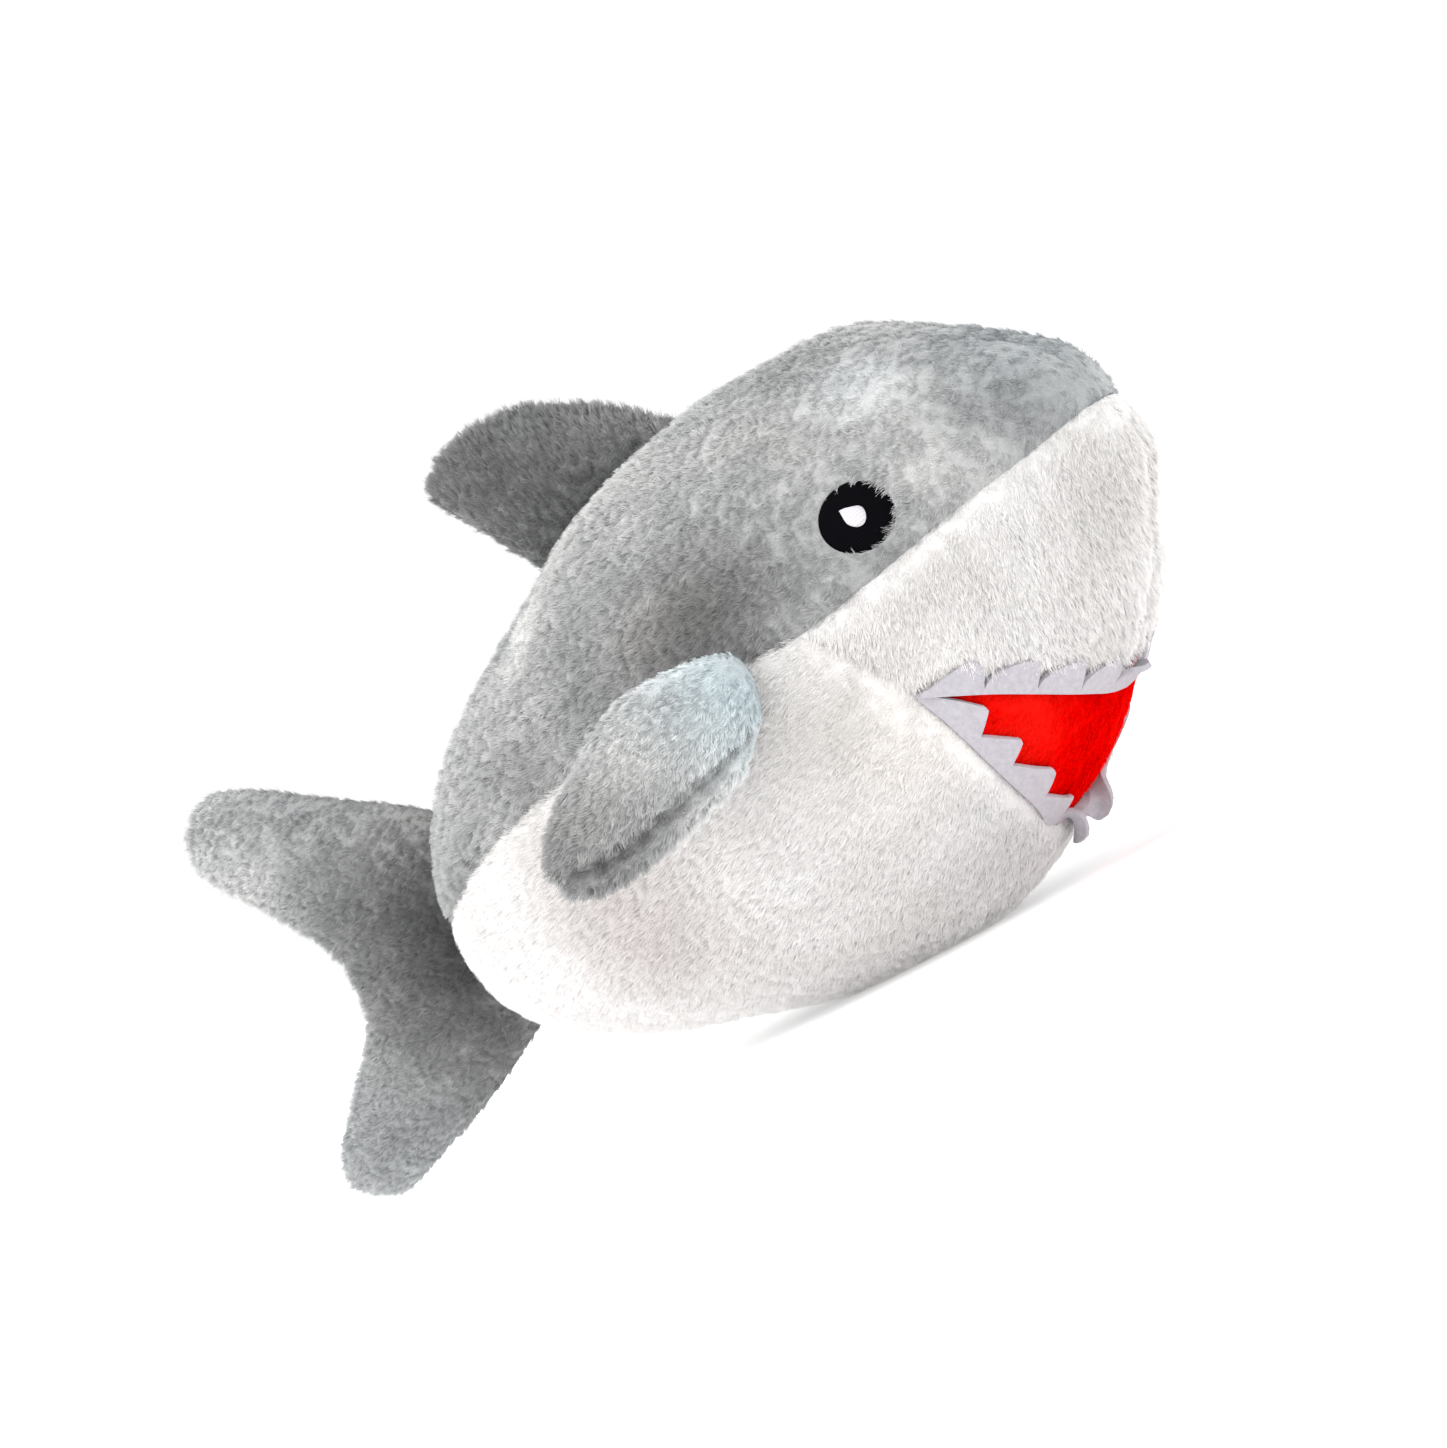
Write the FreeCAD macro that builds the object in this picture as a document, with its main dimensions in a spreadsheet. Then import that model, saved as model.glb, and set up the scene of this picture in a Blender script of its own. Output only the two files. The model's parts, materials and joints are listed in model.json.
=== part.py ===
import FreeCAD, Part
import math
import os
import Sketcher

# Plush shark, resting on a flattened patch of its belly.
# Part frame, millimetres: +Z up, the nose points towards -Y, +X is the shark's left.
# The origin is the centre of the flat belly patch.
# Torso frame: x = left, y = rearwards along the egg's axis, z = towards the back.
# Seam and fin stations are given as "forward" (-y) and "height" (z) in the torso frame.

SIZES = {
    # torso egg and its fabric
    "torso_radius": 58.7,
    "nose_length": 82.7,
    "rear_length": 113.0,
    "nose_taper": 0.31,
    "nose_pitch": 12.0,
    "belly_flat_depth": 2.0,
    "skin": 2.5,
    "ease_gap": 0.25,
    "far": 140.0,
    # panel seams; the lips are straight lines from the mouth corner towards their aim points
    "hip_forward": -50.0,
    "hip_height": 12.0,
    "cheek_forward": 26.0,
    "cheek_height": -1.0,
    "mouth_corner_forward": 33.9,
    "mouth_corner_height": -23.4,
    "upper_lip_aim_forward": 65.2,
    "upper_lip_aim_height": -75.7,
    "lower_lip_aim_forward": 2.9,
    "lower_lip_aim_height": -104.9,
    "lining_recess": 0.5,
    "lining_thickness": 1.6,
    # embroidered eyes
    "eye_forward": 46.8,
    "eye_height": 9.9,
    "eye_radius": 7.4,
    "eye_recess": 0.3,
    "eye_thickness": 1.2,
    "glint_radius": 2.2,
    "glint_proud": 0.2,
    # felt teeth
    "lip_margin": 4.0,
    "tooth_lap": 1.8,
    "tooth_foot_gap": 0.4,
    "tooth_band_height": 2.0,
    "tooth_thickness": 1.0,
    "tooth_band_thickness": 0.7,
    "upper_tooth_height": 7.0,
    "upper_tooth_tip": 3.0,
    "upper_tooth_lift": 0.15,
    "lower_tooth_height": 6.5,
    "lower_tooth_tip": 0.8,
    "lower_tooth_lift": -0.35,
    "lip_gap": 0.3,
    # fins
    "fin_skin": 1.8,
    "hinge_clearance": 0.6,
    "dorsal_height": 26.0,
    "dorsal_half_root": 24.5,
    "dorsal_half_thickness": 6.0,
    "dorsal_corner": 5.5,
    "dorsal_forward": -20.5,
    "pectoral_length": 52.0,
    "pectoral_half_width": 13.5,
    "pectoral_half_thickness": 6.5,
    "pectoral_corner": 6.0,
    "pectoral_forward": 12.5,
    "pectoral_height": 3.0,
    "pectoral_lean": 26.0,
    "pectoral_splay": 29.0,
    "tail_length": 62.0,
    "tail_half_span": 50.0,
    "tail_half_thickness": 8.0,
    "tail_corner": 7.0,
    "tail_height": 47.0,
}

UPPER_TEETH = 9
LOWER_TEETH = 9
PROFILE_STATIONS = 8
LIP_STEPS = 200
BISECTIONS = 40
RIM_SHARE = 0.8

# Fin outlines as fractions: out from the hinge in fin lengths, and along it in half widths.
# The first and last pairs are the ends of the root, which lies behind the hinge axis.
OUTLINES = {
    "dorsal": [
        (0.00, 1.00), (0.20, 0.66), (0.73, 0.08), (1.00, -0.56),
        (0.98, -1.18), (0.70, -1.31), (0.20, -1.14), (0.00, -1.02),
    ],
    "pectoral": [
        (0.00, 0.74), (0.16, 1.00), (0.58, 1.00), (0.90, 0.66), (1.00, 0.12),
        (0.98, -0.42), (0.80, -0.86), (0.44, -1.00), (0.14, -0.98), (0.00, -0.74),
    ],
    "tail": [
        (0.00, 0.52), (0.17, 0.80), (0.57, 1.09), (0.81, 1.08), (0.92, 0.94), (0.90, 0.74),
        (0.66, 0.43), (0.52, 0.06), (0.72, -0.34), (0.92, -0.52), (1.00, -0.69),
        (0.91, -0.88), (0.69, -0.91), (0.32, -0.74), (0.00, -0.50),
    ],
}
FIN_LENGTH = {"dorsal": "dorsal_height", "pectoral": "pectoral_length", "tail": "tail_length"}
FIN_WIDTH = {
    "dorsal": "dorsal_half_root",
    "pectoral": "pectoral_half_width",
    "tail": "tail_half_span",
}

doc = FreeCAD.newDocument("plush_shark")
sheet = doc.addObject("Spreadsheet::Sheet", "Sizes")
nodes = []


# ---------------------------------------------------------------- document helpers

def fill_sheet():
    """One row for each driving size: its alias beside its value."""
    for row, (alias, value) in enumerate(SIZES.items(), start=1):
        sheet.set("A%d" % row, alias)
        sheet.set("B%d" % row, str(value))
        sheet.setAlias("B%d" % row, alias)
    doc.recompute()


def size(alias):
    return float(sheet.get(alias))


def vector(x, y, z):
    return FreeCAD.Vector(x, y, z)


def times(alias, factor=1):
    """An expression that scales a sheet cell."""
    return "Sizes.%s * (%s)" % (alias, round(factor, 4))


def make_node(item, label, place=None):
    """Name a finished sub-part and, for a fin, move it to its place."""
    item.Label = label
    if place:
        item.Placement = place
    nodes.append(item)
    return item


def boolean(kind, name, base, tool):
    item = doc.addObject("Part::" + kind, name)
    item.Base = base
    item.Tool = tool
    return item


def common(name, base, tool):
    return boolean("Common", name, base, tool)


def cut(name, base, tool):
    return boolean("Cut", name, base, tool)


def room(name, low_corner):
    """A box far larger than the shark, from its low corner: half a space."""
    box = doc.addObject("Part::Box", name)
    for side in ("Length", "Width", "Height"):
        box.setExpression(side, times("far", 2))
    box.Placement.Base = low_corner
    return box


def polygon(sketch, corners):
    """A closed polygon; each corner is a pair of (alias, factor) measures bound to the sheet."""
    count = len(corners)
    places = [vector(size(a) * f, size(b) * g, 0) for (a, f), (b, g) in corners]
    for index in range(count):
        sketch.addGeometry(Part.LineSegment(places[index], places[(index + 1) % count]))
    for index in range(count):
        sketch.addConstraint(Sketcher.Constraint("Coincident", index, 2, (index + 1) % count, 1))
    for index, measures in enumerate(corners):
        for kind, (alias, factor), value in zip(
            ("DistanceX", "DistanceY"), measures, (places[index].x, places[index].y)
        ):
            number = sketch.addConstraint(Sketcher.Constraint(kind, -1, 1, index, 1, value))
            sketch.setExpression("Constraints[%d]" % number, times(alias, factor))


# ---------------------------------------------------------------- torso egg

def egg_radius(forward, offset=0.0):
    """Radius of the egg at a distance forward of its widest section."""
    reach = (size("nose_length") if forward > 0 else size("rear_length")) + offset
    taper = size("nose_taper") if forward > 0 else 0.0
    share = min(abs(forward) / reach, 1.0)
    return (size("torso_radius") + offset) * math.sqrt(1.0 - share**2) * (1.0 - taper * share**2)


def egg_normal(point):
    """Outward direction of the egg's skin at a point of the torso frame."""
    step = 0.05
    slope = (egg_radius(-point.y - step) - egg_radius(-point.y + step)) / (2 * step)
    radius = math.hypot(point.x, point.z)
    return vector(point.x, -slope * radius, point.z).normalize()


def torso_frame():
    """Place of the torso frame: pitched nose up, with the belly patch's centre at the origin."""
    pitch = math.radians(size("nose_pitch"))
    rear, radius = size("rear_length"), size("torso_radius")
    drop = math.hypot(rear * math.sin(pitch), radius * math.cos(pitch))
    contact_back = rear**2 * math.sin(pitch) / drop
    contact_down = radius**2 * math.cos(pitch) / drop
    contact_y = contact_back * math.cos(pitch) - contact_down * math.sin(pitch)
    place = vector(0, -contact_y, drop - size("belly_flat_depth"))
    return FreeCAD.Placement(place, FreeCAD.Rotation(vector(1, 0, 0), -size("nose_pitch")))


def egg(name, offset):
    """A solid egg, its skin moved out by offset, turned from half of its side outline."""
    nose, rear = size("nose_length") + offset, size("rear_length") + offset
    radius = size("torso_radius") + offset
    nose_curve = []
    for step in range(1, PROFILE_STATIONS):
        forward = nose * math.cos(math.pi / 2 * step / PROFILE_STATIONS)
        nose_curve.append(vector(0, -forward, egg_radius(forward, offset)))
    top, tip, end = vector(0, 0, radius), vector(0, -nose, 0), vector(0, rear, 0)
    spline = Part.BSplineCurve()
    spline.interpolate([tip] + nose_curve + [top])
    rear_ellipse = Part.Ellipse(end, top, vector(0, 0, 0))
    rear_arc = Part.ArcOfEllipse(rear_ellipse, 0, math.pi / 2)
    axis_line = Part.LineSegment(end, tip)
    edges = [spline.toShape(), rear_arc.toShape(), axis_line.toShape()]
    profile = doc.addObject("Part::Feature", name + "_profile")
    profile.Shape = Part.Face(Part.Wire(Part.__sortEdges__(edges)))
    turned = doc.addObject("Part::Revolution", name)
    turned.Source = profile
    turned.Axis = (0, 1, 0)
    turned.Base = (0, 0, 0)
    turned.Angle = 360
    turned.Solid = True
    turned.Placement = torso_frame()
    return turned


def flat_bottomed(name, offset):
    """An egg with its skin moved out by offset, and its belly flattened by as much."""
    above = room(name + "_room", vector(-size("far"), -size("far"), -offset))
    return common(name, egg(name + "_whole", offset), above)


# ---------------------------------------------------------------- torso panels

def side_prism(name, corners, left, right):
    """A region drawn on the shark's side view, forward and up, reaching left and right."""
    sketch = doc.addObject("Sketcher::SketchObject", name + "_outline")
    polygon(sketch, corners)
    side_view = FreeCAD.Rotation(vector(0, -1, 0), vector(0, 0, 1), vector(-1, 0, 0), "ZXY")
    sketch.Placement = torso_frame() * FreeCAD.Placement(vector(0, 0, 0), side_view)
    prism = doc.addObject("Part::Extrusion", name)
    prism.Base = sketch
    prism.DirMode = "Normal"
    prism.Solid = True
    prism.setExpression("LengthFwd", times("far", 1 if right else 0))
    prism.setExpression("LengthRev", times("far", 1 if left else 0))
    return prism


def seam_point(name):
    return ((name + "_forward", 1), (name + "_height", 1))


def panel_regions():
    """Side-view outlines of the sewn panels, which share their seams."""
    tail_end = (("far", -1), ("hip_height", 1))
    nose_end = (("far", 1), ("cheek_height", 0))
    front_low = (("far", 1), ("far", -1))
    rear_low = (("far", -1), ("far", -1))
    front_high = (("far", 1), ("far", 1))
    rear_high = (("far", -1), ("far", 1))
    hip, cheek, corner = seam_point("hip"), seam_point("cheek"), seam_point("mouth_corner")
    upper_aim, lower_aim = seam_point("upper_lip_aim"), seam_point("lower_lip_aim")
    return {
        "back_panel": [tail_end, hip, cheek, nose_end, front_high, rear_high],
        "snout_panel": [cheek, corner, upper_aim, front_low, nose_end],
        "belly_panel": [tail_end, rear_low, lower_aim, corner, cheek, hip],
    }


def mouth_region():
    return [seam_point("mouth_corner"), seam_point("lower_lip_aim"), seam_point("upper_lip_aim")]


def make_panels(outer, eye_pockets):
    """Left and right fabric panels of the back, snout and belly."""
    shell = cut("torso_shell", outer, flat_bottomed("torso_cavity", -size("skin")))
    for side in ("left", "right"):
        for name, corners in panel_regions().items():
            label = "%s_%s" % (name, side)
            prism = side_prism(label + "_region", corners, side == "left", side == "right")
            if name == "back_panel":
                whole = common(label + "_whole", shell, prism)
                make_node(cut(label + "_panel", whole, eye_pockets[side]), label)
            else:
                make_node(common(label + "_panel", shell, prism), label)


def make_mouth_lining():
    """Thin red insert that closes the mouth, set just below the lips."""
    recess = size("lining_recess")
    face = egg("lining_face", -recess)
    back = egg("lining_back", -recess - size("lining_thickness"))
    prism = side_prism("mouth_region", mouth_region(), True, True)
    make_node(common("lining", cut("lining_layer", face, back), prism), "mouth_lining")


def make_body_stuffing():
    make_node(flat_bottomed("stuffing", -size("skin") - size("ease_gap")), "body_stuffing")


# ---------------------------------------------------------------- eyes

def eye_place(side):
    """Frame on the skin at an eye, its z axis pointing out of the head."""
    forward, height = size("eye_forward"), size("eye_height")
    across = math.sqrt(egg_radius(forward) ** 2 - height**2)
    point = vector(across if side == "left" else -across, -forward, height)
    aim = FreeCAD.Rotation(vector(0, 0, 1), egg_normal(point))
    return torso_frame() * FreeCAD.Placement(point, aim)


def eye_plug(name, side, radius_alias):
    """A round plug through the skin at an eye."""
    plug = doc.addObject("Part::Cylinder", name)
    plug.setExpression("Radius", times(radius_alias))
    plug.setExpression("Height", times("eye_radius", 2))
    centre = FreeCAD.Placement(vector(0, 0, -size("eye_radius")), FreeCAD.Rotation())
    plug.Placement = eye_place(side) * centre
    return plug


def make_eyes():
    """Black patch and white glint in each eye; returns the pockets they are sewn into."""
    recess = size("eye_recess")
    patch_back = egg("eye_back", -recess - size("eye_thickness"))
    patch_face = egg("eye_face", -recess)
    glint_face = egg("glint_face", size("glint_proud"))
    patch_layer = cut("eye_layer", patch_face, patch_back)
    glint_layer = cut("glint_layer", glint_face, patch_face)
    pockets = {}
    for side in ("left", "right"):
        plug = eye_plug("eye_plug_" + side, side, "eye_radius")
        glint_plug = eye_plug("glint_plug_" + side, side, "glint_radius")
        make_node(common("patch_" + side, plug, patch_layer), "eye_patch_" + side)
        make_node(common("glint_" + side, glint_plug, glint_layer), "eye_glint_" + side)
        pockets[side] = cut("eye_pocket_" + side, plug, patch_back)
    return pockets


# ---------------------------------------------------------------- felt teeth

def lip_curve(lip):
    """Points on the skin along a lip, from the left mouth corner round to the right one."""
    corner = vector(0, -size("mouth_corner_forward"), size("mouth_corner_height"))
    aim = vector(0, -size(lip + "_lip_aim_forward"), size(lip + "_lip_aim_height"))

    def across_squared(share):
        point = corner + (aim - corner) * share
        return egg_radius(-point.y) ** 2 - point.z**2

    inside, outside = 0.0, 1.0
    for _ in range(BISECTIONS):
        middle = (inside + outside) / 2
        if across_squared(middle) > 0:
            inside = middle
        else:
            outside = middle
    half = []
    for step in range(LIP_STEPS):
        share = inside * math.sin(math.pi / 2 * step / LIP_STEPS)
        across = vector(math.sqrt(across_squared(share)), 0, 0)
        half.append(corner + (aim - corner) * share + across)
    return half + [vector(-point.x, point.y, point.z) for point in reversed(half)]


def evenly_along(points, count, margin):
    """Middles of equal spans of a curve between margins, with their directions and length."""
    travelled = [0.0]
    for before, after in zip(points, points[1:]):
        travelled.append(travelled[-1] + (after - before).Length)
    span = (travelled[-1] - 2 * margin) / count
    middles = []
    for number in range(count):
        goal = margin + span * (number + 0.5)
        index = next(i for i, distance in enumerate(travelled) if distance >= goal)
        middles.append((points[index], (points[index + 1] - points[index - 1]).normalize()))
    return middles, span


def tooth(name, lip, span, place):
    """One tapered plate of felt, standing on the lip."""
    plate = doc.addObject("Part::Wedge", name)
    half_foot = (span - size("tooth_foot_gap")) / 2
    plate.Xmin, plate.Xmax = -half_foot, half_foot
    plate.setExpression("X2min", times(lip + "_tooth_tip", -0.5))
    plate.setExpression("X2max", times(lip + "_tooth_tip", 0.5))
    plate.Ymin, plate.Zmin, plate.Z2min = 0, 0, 0
    plate.setExpression("Ymax", times(lip + "_tooth_height"))
    plate.setExpression("Zmax", times("tooth_thickness"))
    plate.setExpression("Z2max", times("tooth_thickness"))
    plate.Placement = place
    return plate


def tooth_band(name, span, place):
    """The stretch of felt strip below one tooth, lapping its neighbours."""
    band = doc.addObject("Part::Box", name)
    band.Length = span + size("tooth_lap")
    band.setExpression("Width", times("tooth_band_height"))
    band.setExpression("Height", times("tooth_band_thickness"))
    inset = (size("tooth_thickness") - size("tooth_band_thickness")) / 2
    corner = vector(-band.Length.Value / 2, 0, inset)
    band.Placement = place * FreeCAD.Placement(corner, FreeCAD.Rotation())
    return band


def make_teeth(lip, count):
    """A felt strip cut into teeth: overlapping tapered plates that follow a lip."""
    middles, span = evenly_along(lip_curve(lip), count, size("lip_margin"))
    pieces = []
    for number, (point, along) in enumerate(middles):
        outward = egg_normal(point)
        up_face = outward.cross(along)
        if up_face.y > 0:
            up_face = -up_face
            along = -along
        base = point + outward * size(lip + "_tooth_lift") + up_face * size("lip_gap")
        aim = FreeCAD.Rotation(along, up_face, outward, "ZXY")
        place = torso_frame() * FreeCAD.Placement(base, aim)
        name = "%s_tooth_%d" % (lip, number)
        pieces += [tooth(name, lip, span, place), tooth_band(name + "_band", span, place)]
    strip = doc.addObject("Part::MultiFuse", lip + "_strip")
    strip.Shapes = pieces
    make_node(strip, lip + "_teeth")


# ---------------------------------------------------------------- fins

def fin_corners(fin, inset):
    """Outline of a fin as sheet measures, every side moved inwards by the inset."""
    length, width = FIN_LENGTH[fin], FIN_WIDTH[fin]
    root = -size(fin + "_half_thickness") / size(length)
    points = [vector(size(length) * (out or root), size(width) * along, 0)
              for out, along in OUTLINES[fin]]
    inner = []
    for before, here, after in zip(points[-1:] + points, points, points[1:] + points[:1]):
        first = inward_normal(before, here)
        second = inward_normal(here, after)
        inner.append(here + (first + second) * (inset / (1 + first.dot(second))))
    return [((length, p.x / size(length)), (width, p.y / size(width))) for p in inner]


def inward_normal(start, end):
    """Unit normal of an outline's side, pointing into an outline that runs clockwise."""
    run = (end - start).normalize()
    return vector(run.y, -run.x, 0)


def edge_names(shape, wanted):
    return ["Edge%d" % (i + 1) for i, edge in enumerate(shape.Edges) if wanted(edge)]


def rounded(body, base, name, edges, radius_text):
    """Round some edges of a body's last feature."""
    fillet = body.newObject("PartDesign::Fillet", name)
    fillet.Base = (base, edges)
    fillet.setExpression("Radius", radius_text)
    doc.recompute()
    return fillet


def fin_form(name, fin, inset):
    """A padded fin in its hinge frame: x out, y along the hinge, z through its thickness."""
    body = doc.addObject("PartDesign::Body", name)
    sketch = body.newObject("Sketcher::SketchObject", name + "_outline")
    plane = next(f for f in body.Origin.OriginFeatures if f.Role == "XY_Plane")
    sketch.AttachmentSupport = [(plane, "")]
    sketch.MapMode = "FlatFace"
    polygon(sketch, fin_corners(fin, inset))
    half = size(fin + "_half_thickness") - inset
    half_text = "(Sizes.%s_half_thickness - %s)" % (fin, round(inset, 4))
    pad = body.newObject("PartDesign::Pad", name + "_pad")
    pad.Profile = sketch
    pad.SideType = "Symmetric"
    pad.setExpression("Length", "2 * " + half_text)
    doc.recompute()
    upright = edge_names(pad.Shape, lambda edge: abs(edge.tangentAt(0).z) > 0.99)
    corner_text = "Sizes.%s_corner - %s" % (fin, round(inset, 4))
    corners = rounded(body, pad, name + "_corners", upright, corner_text)
    on_face = edge_names(corners.Shape, lambda edge: abs(abs(edge.CenterOfMass.z) - half) < 0.01)
    rounded(body, corners, name + "_rim", on_face, "%s * %s" % (RIM_SHARE, half_text))
    return body


def make_fin(label, fin, place, faces):
    """Two sewn fabric faces and their stuffing, placed at the fin's hinge."""
    skin = size("fin_skin")
    gap = size("ease_gap")
    outer = fin_form(label + "_outer", fin, 0.0)
    cavity = fin_form(label + "_cavity", fin, skin)
    core = fin_form(label + "_core", fin, skin + gap)
    shell = cut(label + "_shell", outer, cavity)
    far = size("far")
    lows = (vector(-far, -far, 0), vector(-far, -far, -2 * far))
    for face, low in zip(faces, lows):
        name = "%s_%s" % (label, face)
        half_space = room(name + "_room", low)
        make_node(common(name + "_half", shell, half_space), name, place)
    make_node(core, label + "_stuffing", place)


def hinge_frame(point, out, along):
    """Placement whose x axis points out along a fin and whose y axis is its hinge."""
    rotation = FreeCAD.Rotation(out, along, out.cross(along), "ZXY")
    return FreeCAD.Placement(point, rotation)


def dorsal_frame():
    """Hinge along the top of the back, tangent to the egg."""
    forward = size("dorsal_forward")
    skin_point = vector(0, -forward, egg_radius(forward))
    outward = egg_normal(skin_point)
    lift = size("dorsal_half_thickness") + size("hinge_clearance")
    ahead = vector(1, 0, 0).cross(outward).normalize()
    return torso_frame() * hinge_frame(skin_point + outward * lift, outward, ahead)


def pectoral_frame(side):
    """Hinge on the flank, leaning forward at its lower end; the fin splays from the body."""
    sign = 1 if side == "left" else -1
    forward, height = size("pectoral_forward"), size("pectoral_height")
    lean, splay = math.radians(size("pectoral_lean")), math.radians(size("pectoral_splay"))
    across = math.sqrt(egg_radius(forward) ** 2 - height**2)
    skin_point = vector(sign * across, -forward, height)
    lift = size("pectoral_half_thickness") + size("hinge_clearance")
    along = vector(0, -math.sin(lean), -math.cos(lean))
    back = vector(0, math.cos(lean), -math.sin(lean))
    out = back * math.cos(splay) + vector(sign * math.sin(splay), 0, 0)
    point = skin_point + egg_normal(skin_point) * lift
    return torso_frame() * hinge_frame(point, out, along)


def tail_frame():
    """Upright hinge just behind the egg's rearmost point."""
    pitch = math.radians(size("nose_pitch"))
    reach = math.hypot(
        size("rear_length") * math.cos(pitch), size("torso_radius") * math.sin(pitch)
    )
    behind = torso_frame().Base.y + reach + size("tail_half_thickness") + size("hinge_clearance")
    return hinge_frame(vector(0, behind, size("tail_height")), vector(0, 1, 0), vector(0, 0, 1))


def make_fins():
    """All four fins; returns their hinge frames by name."""
    frames = {"dorsal_fin": dorsal_frame(), "tail": tail_frame()}
    make_fin("dorsal_fin", "dorsal", frames["dorsal_fin"], ("left_face", "right_face"))
    make_fin("tail", "tail", frames["tail"], ("left_face", "right_face"))
    for side in ("left", "right"):
        label = side + "_pectoral"
        frames[label] = pectoral_frame(side)
        faces = ("inner_face", "outer_face") if side == "left" else ("outer_face", "inner_face")
        make_fin(label, "pectoral", frames[label], faces)
    return frames


# ---------------------------------------------------------------- assembly

def check_and_export():
    """Stop on any failed object; write each sub-part's shape to its own file."""
    for item in doc.Objects:
        if "Invalid" in item.State or "Error" in item.State:
            raise RuntimeError("%s failed: %s" % (item.Name, item.State))
    for item in nodes:
        shape = item.Shape
        if shape.isNull() or not shape.isValid() or not shape.Solids:
            raise RuntimeError("%s has no valid solid" % item.Label)
    os.makedirs("parts", exist_ok=True)
    for item in nodes:
        item.Shape.exportStep("parts/%s.step" % item.Label)
        print(item.Label, len(item.Shape.Solids), "solid(s)", round(item.Shape.Volume), "mm3")


def print_hinges(frames):
    for label, frame in frames.items():
        axis = frame.Rotation.multVec(vector(0, 1, 0))
        point = frame.Base
        print("hinge", label, [round(v, 2) for v in point], [round(v, 4) for v in axis])


def main():
    fill_sheet()
    outer = flat_bottomed("torso_outer", 0.0)
    make_panels(outer, make_eyes())
    make_mouth_lining()
    make_body_stuffing()
    make_teeth("upper", UPPER_TEETH)
    make_teeth("lower", LOWER_TEETH)
    frames = make_fins()
    doc.recompute()
    check_and_export()
    print_hinges(frames)


main()
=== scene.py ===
"""Plush shark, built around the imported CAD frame. Lengths are millimetres until a mesh is made."""

import json  # noqa: E402
import math  # noqa: E402

import bpy  # noqa: E402
import numpy as np  # noqa: E402
from mathutils import Matrix, Vector, noise  # noqa: E402
from mathutils.geometry import delaunay_2d_cdt  # noqa: E402


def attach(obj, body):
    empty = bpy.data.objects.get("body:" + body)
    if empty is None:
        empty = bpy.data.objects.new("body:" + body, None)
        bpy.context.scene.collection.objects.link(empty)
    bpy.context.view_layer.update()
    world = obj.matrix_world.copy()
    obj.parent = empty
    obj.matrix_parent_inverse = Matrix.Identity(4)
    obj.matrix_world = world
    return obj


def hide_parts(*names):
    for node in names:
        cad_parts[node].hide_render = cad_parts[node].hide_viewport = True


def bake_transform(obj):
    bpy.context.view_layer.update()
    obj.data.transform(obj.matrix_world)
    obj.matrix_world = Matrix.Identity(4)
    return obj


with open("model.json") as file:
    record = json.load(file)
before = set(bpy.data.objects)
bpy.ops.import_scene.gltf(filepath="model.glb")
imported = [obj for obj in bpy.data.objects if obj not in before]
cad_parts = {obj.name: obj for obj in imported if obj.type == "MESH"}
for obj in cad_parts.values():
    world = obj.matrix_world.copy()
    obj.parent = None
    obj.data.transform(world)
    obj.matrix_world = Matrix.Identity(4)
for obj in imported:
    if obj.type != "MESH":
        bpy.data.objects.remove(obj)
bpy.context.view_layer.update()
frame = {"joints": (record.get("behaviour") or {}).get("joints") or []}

MM = 0.001
JOINTS = {joint["child"]: joint for joint in frame["joints"]}

# ---------------------------------------------------------------- torso egg
# Torso measures are (forward, left, dorsal) from the egg's widest section.

NOSE, REAR, GIRTH, TAPER = 82.7, 113.0, 58.7, 0.31
PITCH = math.radians(12.0)
TORSO_BASE = (0.0, -30.563, 60.038)
PILE_DEPTH = 1.1
PANEL_SPACING = 1.6
SKIN, LINING_SKIN, FIN_SKIN, FELT_SKIN = 2.2, 1.4, 1.5, 1.1

MAIN_SEAM = [(-110.6, 12.0), (-87, 11.6), (-70, 12.9), (-54, 12.6), (-42, 11.4), (-32, 10.4),
             (-10, 7.2), (10, 3.4), (19.7, 1.2), (27.2, -0.9), (37.3, -1.7), (48.6, -1.6),
             (60.5, -1.3), (73.5, -1.3), (82.7, -0.4)]
SNOUT_SEAM = [(27.2, -0.9), (31.5, -9.2), (33.4, -17.0), (33.9, -23.4)]
UPPER_LIP = [(33.9, -23.4), (38.3, -27.9), (41.8, -32.2), (44.6, -37.2), (45.9, -41.6),
             (45.6, -44.5)]
LOWER_LIP = [(33.9, -23.4), (33.0, -31.4), (30.6, -39.6), (26.9, -47.2), (22.4, -52.8),
             (15.8, -57.0)]
EYE_CENTRE = (46.8, 9.9)
EYE_RADIUS = 7.5
EYE_SIDES = 40

# Stuffing fullness: (forward, left, dorsal), outward amount, spread.
FULLNESS = [
    ((0, 3, -58), 3.4, 18), ((-22, 0, -57), 2.2, 20), ((-70, 12, -45), -3.0, 22),
    ((-92, 14, -32), -1.4, 14), ((27, 0, 54), 1.8, 14), ((8, 12, 57), -3.0, 14),
    ((-8, 14, 57), -1.6, 14), ((-37, 18, 52), -3.2, 20), ((-60, 22, 44), -0.8, 18),
    ((46, 3, 44), 1.8, 14), ((70, 8, 22), 1.2, 14), ((79, 8, 9), 1.6, 9),
    ((82, 4, 6), -1.4, 7), ((78, 5, -13), 3.4, 10),
    ((65, 4, -29), 2.4, 10), ((29, 1, 55), -3.4, 15), ((54, 7, 39), 1.2, 13),
    ((5, 5, -62), -1.6, 12), ((-82, 31, -27), -1.6, 14), ((-50, 35, 39), -3.0, 18),
    ((40, 17, -44), -1.0, 16), ((63, 16, -26), -0.4, 16), ((76, 13, -14), -3.0, 14),
]


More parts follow.
